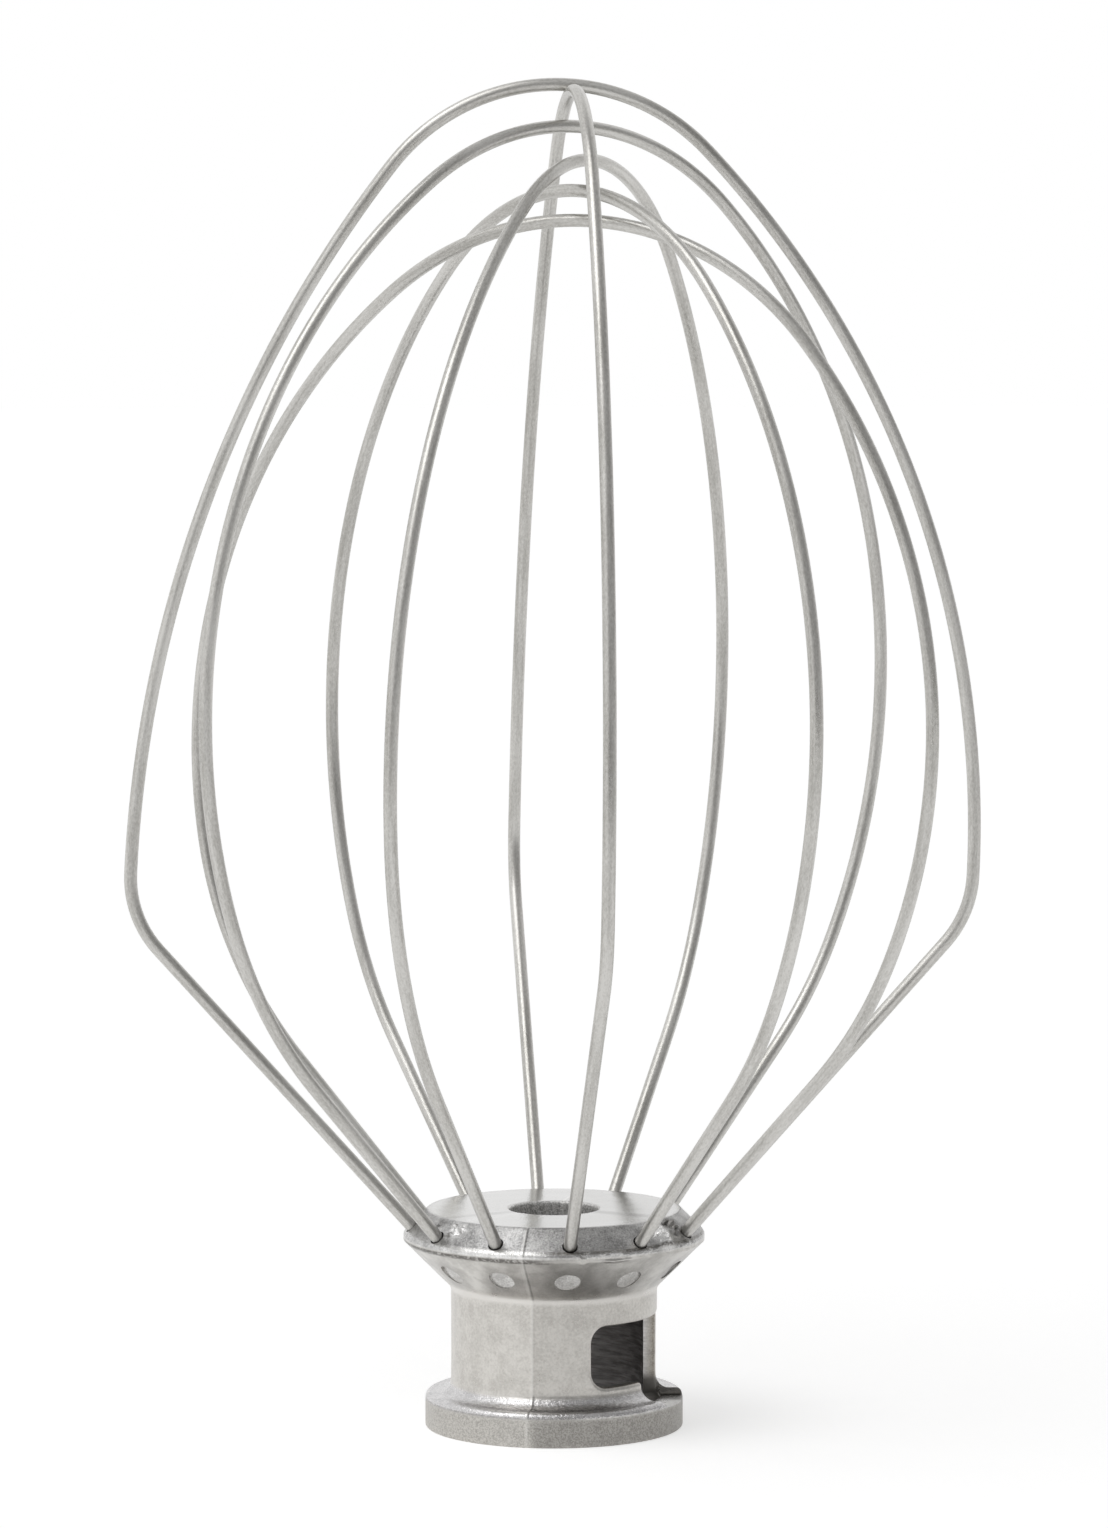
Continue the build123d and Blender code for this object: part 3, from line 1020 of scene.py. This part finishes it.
def mixed(tree, share, first, second):
    """Socket of a colour between two colours."""
    inputs = {MIX_SHARE: share, FIRST_COLOUR: first, SECOND_COLOUR: second}
    return add_node(tree, "ShaderNodeMix", inputs, data_type="RGBA").outputs[COLOUR_OUT]


def attribute(tree, name, output="Fac"):
    """Socket of a value that the mesh carries at its points."""
    return add_node(tree, "ShaderNodeAttribute", attribute_name=name).outputs[output]


def scaled(tree, vector, scale):
    """Socket of a vector with each of its parts scaled."""
    return add_node(tree, "ShaderNodeMapping", {"Vector": vector, "Scale": scale}).outputs[0]


def noise_node(tree, place, kind):
    """Socket of a noise from 0 to 1."""
    vector = scaled(tree, place, kind.scale)
    inputs = {"Vector": vector, "Scale": 1.0, "Detail": kind.detail, "Roughness": kind.roughness}
    return add_node(tree, "ShaderNodeTexNoise", inputs).outputs["Fac"]


def raise_by(tree, shader, height):
    """Lets a shader's surface seem to stand out by a height in millimetres."""
    bump = add_node(tree, "ShaderNodeBump", {"Strength": 1.0, "Distance": MM, "Height": height})
    tree.links.new(bump.outputs[0], shader.inputs["Normal"])


def new_metal(name):
    """Material with a metal shader; gives the material, its tree and the shader."""
    material = bpy.data.materials.new(name)
    material.use_nodes = True
    tree = material.node_tree
    shader = tree.nodes["Principled BSDF"]
    shader.inputs["Metallic"].default_value = 1.0
    return material, tree, shader


# Finishes

def steel_finish():
    """Drawn wire, dulled by washing: fine speckle stretched along the wire and slow changes of sheen."""
    material, tree, shader = new_metal("wire_steel")
    grain = attribute(tree, "grain", "Vector")
    speckle = noise_node(tree, grain, WIRE_SPECKLE)
    streak = noise_node(tree, grain, WIRE_STREAK)
    sheen = noise_node(tree, grain, WIRE_SHEEN)
    tone = blend(tree, blend(tree, speckle, streak, STREAK_IN_WIRE), sheen, SHEEN_IN_WIRE)
    colour = mixed(tree, stretched(tree, tone, *WIRE_RANGE), STEEL_DARK, STEEL_LIGHT)
    tree.links.new(colour, shader.inputs["Base Color"])
    roughness = ranged(tree, sheen, *SHEEN_RANGE, *WIRE_ROUGHNESS)
    tree.links.new(roughness, shader.inputs["Roughness"])
    raise_by(tree, shader, product(tree, speckle, SPECKLE_H))
    return material


def cast_patterns(tree, place):
    """Sockets of the patterns that vary the casting's colours."""
    mottle = noise_node(tree, place, MOTTLE)
    grain = noise_node(tree, place, GRAIN)
    fleck = noise_node(tree, place, FLECK)
    streak = noise_node(tree, place, STREAK)
    satin = blend(tree, mottle, grain, GRAIN_IN_SATIN)
    flecked = blend(tree, fleck, grain, GRAIN_IN_FLECKED)
    patchy = blend(tree, blend(tree, fleck, grain, GRAIN_IN_PATCHY), mottle, MOTTLE_IN_PATCHY)
    return Patterns(
        satin=stretched(tree, satin, *SATIN_RANGE),
        flecked=stretched(tree, flecked, *FLECKED_RANGE),
        patchy=stretched(tree, patchy, *PATCHY_RANGE),
        streaky=stretched(tree, streak, *STREAKY_RANGE),
        cloudy=stretched(tree, mottle, *CLOUDY_RANGE),
        caked=ranged(tree, grain, *CAKED_RANGE, CAKED_LEAST, 1.0),
    )


def zone_colours(tree, patterns):
    """Colour of each zone of the casting, in the order in which one lies over another."""
    return {
        "flare": mixed(tree, patterns.cloudy, FLARE_DARK, FLARE_LIGHT),
        "halo": mixed(tree, patterns.patchy, HALO_TONE, FLARE_DARK),
        # Painted highlight where the flare's fillet reflects the bright floor
        "crease": CREASE_HIGHLIGHT_TONE,
        "mark": mixed(tree, patterns.patchy, MARK_DARK, MARK_LIGHT),
        "face": FACE_TONE,
        "bevel": mixed(tree, patterns.patchy, BEVEL_DARK, BEVEL_LIGHT),
        # Bright torn metal, with a painted highlight where the facets face the light
        "facet": FACET_HIGHLIGHT_TONE,
        # Painted highlight on the rim's band
        "band": mixed(tree, patterns.satin, HIGHLIGHT_BAND_DARK, HIGHLIGHT_BAND_LIGHT),
        "foot": mixed(tree, patterns.patchy, FOOT_DARK, FOOT_LIGHT),
        "flange": mixed(tree, patterns.flecked, FLANGE_DARK, FLANGE_LIGHT),
        "core": mixed(tree, patterns.flecked, CORE_DARK, CORE_LIGHT),
        "bore": mixed(tree, patterns.streaky, BORE_DARK, BORE_LIGHT),
        # Brown grime on the slot's walls, deepened with painted shade
        "wall": mixed(tree, patterns.patchy, WALL_DARK, WALL_LIGHT),
        # Painted shade and dirt in the notch's corner
        "notch": GRIME_AND_PAINTED_SHADE,
        "scar": GRIME_AND_PAINTED_SHADE,
    }


def painted_half_shade(tree, patterns):
    """Socket of the patchy painted shade on the right half of the hub, deeper on the flange."""
    depth = ranged(tree, attribute(tree, "flange"), 0.0, 1.0, NECK_PAINTED_SHADE, FLANGE_PAINTED_SHADE)
    patches = ranged(tree, patterns.patchy, 0.0, 1.0, SHADE_ON_DARK_PATCHES, SHADE_ON_LIGHT_PATCHES)
    return product(tree, attribute(tree, "half"), product(tree, depth, patches))


def cast_colour(tree, place):
    """Colour of the casting: zone over zone, then dirt and painted shade in fine lines, the painted shade on
    the right half and the painted highlight along the parting ridge.
    """
    patterns = cast_patterns(tree, place)
    colour = mixed(tree, patterns.satin, NECK_DARK, NECK_LIGHT)
    for zone, tone in zone_colours(tree, patterns).items():
        colour = mixed(tree, attribute(tree, zone), colour, tone)
    # Dirt and painted shade in fine lines under the rim's edge, behind its flash and under the flange's edge
    dirt_and_shade = product(tree, attribute(tree, "dirt_and_shade"), patterns.caked)
    colour = mixed(tree, dirt_and_shade, colour, GRIME_AND_PAINTED_SHADE)
    # Painted shade: the right half is darkened, more on the flange
    colour = mixed(tree, painted_half_shade(tree, patterns), colour, GRIME_AND_PAINTED_SHADE)
    # Painted highlight along the parting ridge
    ridge = ranged(tree, attribute(tree, "parting"), *RIDGE_HIGHLIGHT_RANGE, RIDGE_HIGHLIGHT, 0.0)
    return mixed(tree, ridge, colour, RIDGE_HIGHLIGHT_TONE)


def cast_roughness(tree, place):
    """Roughness of the casting: mottled on the neck, then zone over zone."""
    rough = ranged(tree, noise_node(tree, place, MOTTLE), *MOTTLE_RANGE, *HUB_ROUGHNESS)
    for zone, value in ZONE_ROUGHNESS.items():
        rough = mixed_value(tree, attribute(tree, zone), rough, value)
    return rough


def cast_relief(tree, place):
    """Height of the casting's relief: grain, pits, lumps and the ridge where the mould's halves met."""
    grain = product(tree, noise_node(tree, place, GRAIN_RELIEF), GRAIN_H)
    pits = product(tree, noise_node(tree, place, PIT_RELIEF), PIT_H)
    lumps = product(tree, noise_node(tree, place, LUMP_RELIEF), LUMP_H)
    ridge = ranged(tree, attribute(tree, "parting"), 0.0, RIDGE_HALF_WIDTH, RIDGE_H, 0.0)
    pitted = larger(tree, attribute(tree, "bevel"), attribute(tree, "core"))
    for zone in ("mark", "flange"):
        pitted = larger(tree, pitted, product(tree, attribute(tree, zone), PITS_ON_MARK_AND_FLANGE))
    lumpy = larger(tree, attribute(tree, "foot"), attribute(tree, "facet"))
    ridged = rest_of_one(tree, attribute(tree, "face"))
    height = total(tree, grain, product(tree, pits, pitted))
    height = total(tree, height, product(tree, lumps, lumpy))
    return total(tree, height, product(tree, ridge, ridged))


def cast_finish():
    """Tumbled die-cast aluminium, its tones, sheen and relief changing from zone to zone."""
    material, tree, shader = new_metal("cast_aluminium")
    place = add_node(tree, "ShaderNodeTexCoord").outputs["Object"]
    place = scaled(tree, place, (1 / MM, 1 / MM, 1 / MM))
    tree.links.new(cast_colour(tree, place), shader.inputs["Base Color"])
    tree.links.new(cast_roughness(tree, place), shader.inputs["Roughness"])
    raise_by(tree, shader, cast_relief(tree, place))
    return material


# Studio: world, floor, lamp and camera

def sees_background(tree):
    """Socket that is 1 for the rays that should find a white studio: camera, glossy and transmission."""
    path = add_node(tree, "ShaderNodeLightPath").outputs
    camera_or_glossy = larger(tree, path["Is Camera Ray"], path["Is Glossy Ray"])
    return larger(tree, camera_or_glossy, path["Is Transmission Ray"])


def facing(tree, direction, toward):
    """Socket of how squarely a direction faces another, from -1 to 1."""
    inputs = {0: direction, 1: toward}
    return add_node(tree, "ShaderNodeVectorMath", inputs, operation="DOT_PRODUCT").outputs["Value"]


def dim_share(tree, direction):
    """Socket of how dim the studio is in a direction."""
    share = 0.0
    for zone in DIM_ZONES:
        near = facing(tree, direction, zone.toward.normalized())
        inputs = {"Value": near, "From Min": zone.edge, "From Max": zone.full, "To Max": zone.dim}
        dimmed = add_node(tree, "ShaderNodeMapRange", inputs, interpolation_type="SMOOTHSTEP")
        share = larger(tree, share, dimmed.outputs["Result"])
    return share


def make_world():
    """White for the eye; metal finds the same white with dim zones, and most light comes from the left."""
    world = bpy.data.worlds.new("studio")
    bpy.context.scene.world = world
    world.use_nodes = True
    tree = world.node_tree
    tree.nodes.clear()
    direction = add_node(tree, "ShaderNodeTexCoord").outputs["Generated"]
    path = add_node(tree, "ShaderNodeLightPath")
    dim = product(tree, dim_share(tree, direction), path.outputs["Is Glossy Ray"])
    white = rest_of_one(tree, dim)
    lean = product(tree, facing(tree, direction, LIT_SIDE), WORLD_LIGHT * LIGHT_LEAN)
    light = total(tree, lean, WORLD_LIGHT)
    level = mixed_value(tree, sees_background(tree), light, white)
    background = add_node(tree, "ShaderNodeBackground", {"Color": (1, 1, 1, 1), "Strength": level})
    add_node(tree, "ShaderNodeOutputWorld", {"Surface": background.outputs[0]})


def floor_finish():
    """Pale matte with a glow that makes it read as white; inside the hub's socket the glow is nearly off,
    which paints the socket's shade.
    """
    material = bpy.data.materials.new("floor")
    material.use_nodes = True
    tree = material.node_tree
    tree.nodes.clear()
    matte = add_node(tree, "ShaderNodeBsdfDiffuse", {"Color": (FLOOR_ALBEDO, FLOOR_ALBEDO, FLOOR_ALBEDO, 1)})
    place = add_node(tree, "ShaderNodeTexCoord").outputs["Object"]
    from_axis = add_node(tree, "ShaderNodeVectorMath", {0: place}, operation="LENGTH").outputs["Value"]
    level = ranged(tree, from_axis, BORE_R * MM, (BORE_R + SMALL_EDGE_R) * MM, SOCKET_GLOW, FLOOR_GLOW)
    glow = add_node(tree, "ShaderNodeEmission", {"Strength": product(tree, sees_background(tree), level)})
    both = add_node(tree, "ShaderNodeAddShader", {0: matte.outputs[0], 1: glow.outputs[0]})
    add_node(tree, "ShaderNodeOutputMaterial", {"Surface": both.outputs[0]})
    return material


def make_floor():
    """Floor that still darkens where the object keeps the light off it."""
    corners = [(x * FLOOR_HALF, y * FLOOR_HALF, 0) for x, y in ((-1, -1), (1, -1), (1, 1), (-1, 1))]
    mesh = new_mesh("floor", corners, [(0, 1, 2, 3)])
    mesh.materials.append(floor_finish())
    floor = link("floor", mesh)


def make_key_light():
    """Broad soft light from the upper left, in front of the object."""
    lamp = bpy.data.lights.new("key", "SUN")
    lamp.energy = KEY_STRENGTH
    lamp.angle = KEY_ANGLE
    key = link("key", lamp)
    key.rotation_euler = KEY_TURN


def make_camera():
    """Long lens in front of the object and above its middle, as the photograph was taken."""
    data = bpy.data.cameras.new("camera")
    data.lens = CAMERA_LENS
    data.sensor_width = SENSOR_WIDTH
    data.clip_start = CLIP_START
    data.clip_end = CLIP_END
    camera = link("camera", data)
    spot = (sin(CAMERA_AZIMUTH) * CAMERA_DISTANCE, -cos(CAMERA_AZIMUTH) * CAMERA_DISTANCE, CAMERA_HEIGHT)
    camera.location = spot
    view = Vector((0, 0, AIM_HEIGHT)) - Vector(spot)
    camera.rotation_euler = view.to_track_quat("-Z", "Y").to_euler()
    bpy.context.scene.camera = camera


make_world()
make_floor()
make_key_light()
make_camera()
bpy.context.scene.view_settings.view_transform = "Standard"

steel = steel_finish()
crowns = crown_heights()
for name in LOOPS:
    make_wire(name, crowns[name], steel)
make_hub(cast_finish())
